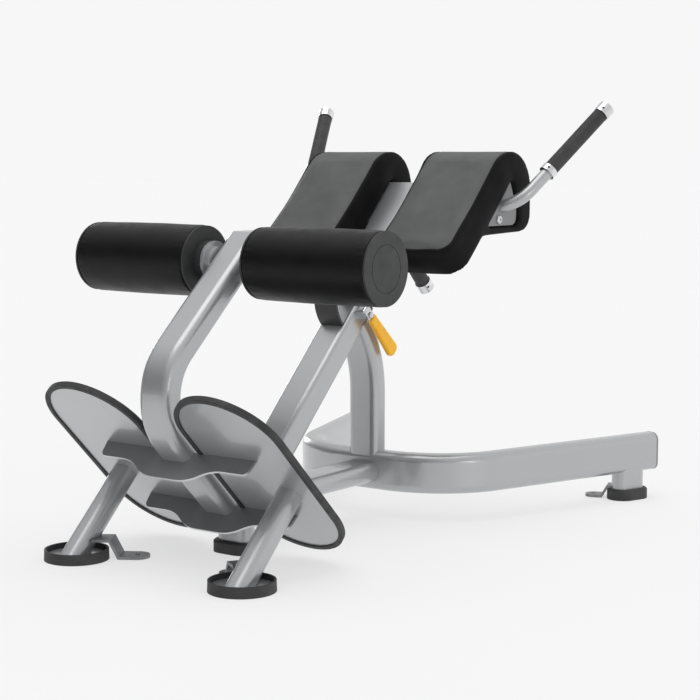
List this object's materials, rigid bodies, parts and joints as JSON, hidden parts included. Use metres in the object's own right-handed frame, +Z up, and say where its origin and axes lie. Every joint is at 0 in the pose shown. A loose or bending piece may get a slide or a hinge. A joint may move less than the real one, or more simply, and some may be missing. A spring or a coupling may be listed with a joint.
{
  "type": "back extension bench",
  "caption": "45 degree back-extension bench: splayed floor frame, foot plates, ankle rollers on a C-bent arm, and padded hip carriage with handles.",
  "frame": {"origin": "on the floor, at the middle of the bench's plan", "axes": "+Z up, +X to the right across the bench, +Y from the foot plates towards the open rear base"},
  "size_m": [0.8746, 1.3887, 0.9419],
  "materials": {
    "silver_paint": "satin metallic powder coat",
    "dark_paint": "satin dark grey coat with brushed edges",
    "black_paint": "satin black",
    "grey_steel": "brushed bolt-down tabs",
    "axle_steel": "ground bar",
    "zinc_steel": "zinc plated fasteners",
    "chrome": "polished",
    "pad_vinyl": "fine-grained matt vinyl",
    "roller_vinyl": "smooth black vinyl",
    "black_plastic": "moulded end discs and bushes",
    "grey_plastic": "grey end plugs",
    "black_rubber": "moulded",
    "tread_rubber": "ribbed tread with a wrapped rim",
    "grip_rubber": "foam rubber sleeve",
    "yellow_plastic": "glossy",
    "plywood": "bare plywood"
  },
  "bodies": {
    "frame": {"roller_arm": "silver_paint", "roller_arm_cap": "silver_paint", "base_tube": "silver_paint", "base_end_caps": "grey_plastic", "spine_tube": "silver_paint", "column_tube": "silver_paint", "upright_post": "silver_paint", "front_legs": "silver_paint", "front_foot_cups": "black_rubber", "front_foot_discs": "silver_paint", "front_tabs": "grey_steel", "rear_stubs": "silver_paint", "rear_shoes": "black_rubber", "rear_tabs": "grey_steel", "centre_stub": "silver_paint", "centre_shoe": "black_rubber", "upper_bracket": "dark_paint", "lower_bracket": "dark_paint", "foot_plates": "silver_paint", "foot_treads": "tread_rubber", "roller_axle": "axle_steel", "axle_hubs": "silver_paint", "axle_clips": "zinc_steel", "guide_bush": "black_plastic", "pin_housing": "zinc_steel", "lever_bracket": "silver_paint", "lever_pivot": "zinc_steel", "guard_strap": "black_paint", "pin_spring": "zinc_steel"},
    "carriage": {"carriage_tube": "silver_paint", "carriage_cap": "black_plastic", "carriage_glide": "black_plastic", "pad_beam": "silver_paint", "beam_ends": "dark_paint", "beam_end_bolts": "zinc_steel", "beam_end_nuts": "zinc_steel", "pad_boards": "plywood", "pad_bolts": "zinc_steel", "hip_pad_left": "pad_vinyl", "hip_pad_right": "pad_vinyl", "handle_tubes": "silver_paint", "handle_grips": "grip_rubber", "handle_collars": "chrome", "handle_caps": "chrome", "grub_screws": "black_paint", "lift_handle_tube": "silver_paint", "lift_handle_grip": "grip_rubber"},
    "left_roller": {"left_roller_core": "axle_steel", "left_roller_pad": "roller_vinyl", "left_roller_inner_cap": "black_plastic", "left_roller_outer_cap": "black_plastic", "left_roller_bushes": "black_plastic"},
    "right_roller": {"right_roller_core": "axle_steel", "right_roller_pad": "roller_vinyl", "right_roller_inner_cap": "black_plastic", "right_roller_outer_cap": "black_plastic", "right_roller_bushes": "black_plastic"},
    "lever": {"lever_plate": "zinc_steel", "lever_grip": "yellow_plastic"},
    "pin": {"pull_pin": "zinc_steel"}
  },
  "joints": [
    {"name": "carriage_slide", "type": "slide", "parent": "frame", "child": "carriage", "axis": [0, 0.7071, 0.7071], "range_m": [-0.1, 0.1]},
    {"name": "left_roller_spin", "type": "hinge", "parent": "frame", "child": "left_roller", "pos_m": [0, -0.3848, 0.603], "axis": [1, 0, 0], "continuous": true},
    {"name": "right_roller_spin", "type": "hinge", "parent": "frame", "child": "right_roller", "pos_m": [0, -0.3848, 0.603], "axis": [1, 0, 0], "continuous": true},
    {"name": "lever_pull", "type": "hinge", "parent": "frame", "child": "lever", "pos_m": [0.058, -0.00545, 0.48366], "axis": [0, -0.7071, -0.7071], "range_deg": [0, 12], "stiffness_Nm_per_rad": 1.2, "springref_deg": -8.59},
    {"name": "pin_pull", "type": "slide", "parent": "frame", "child": "pin", "axis": [1, 0, 0], "range_m": [0, 0.006], "deforming": ["pin_spring"]}
  ],
  "couplings": [
    {"joint": "pin_pull", "follows": "lever_pull", "m_per_rad": 0.0275}
  ]
}
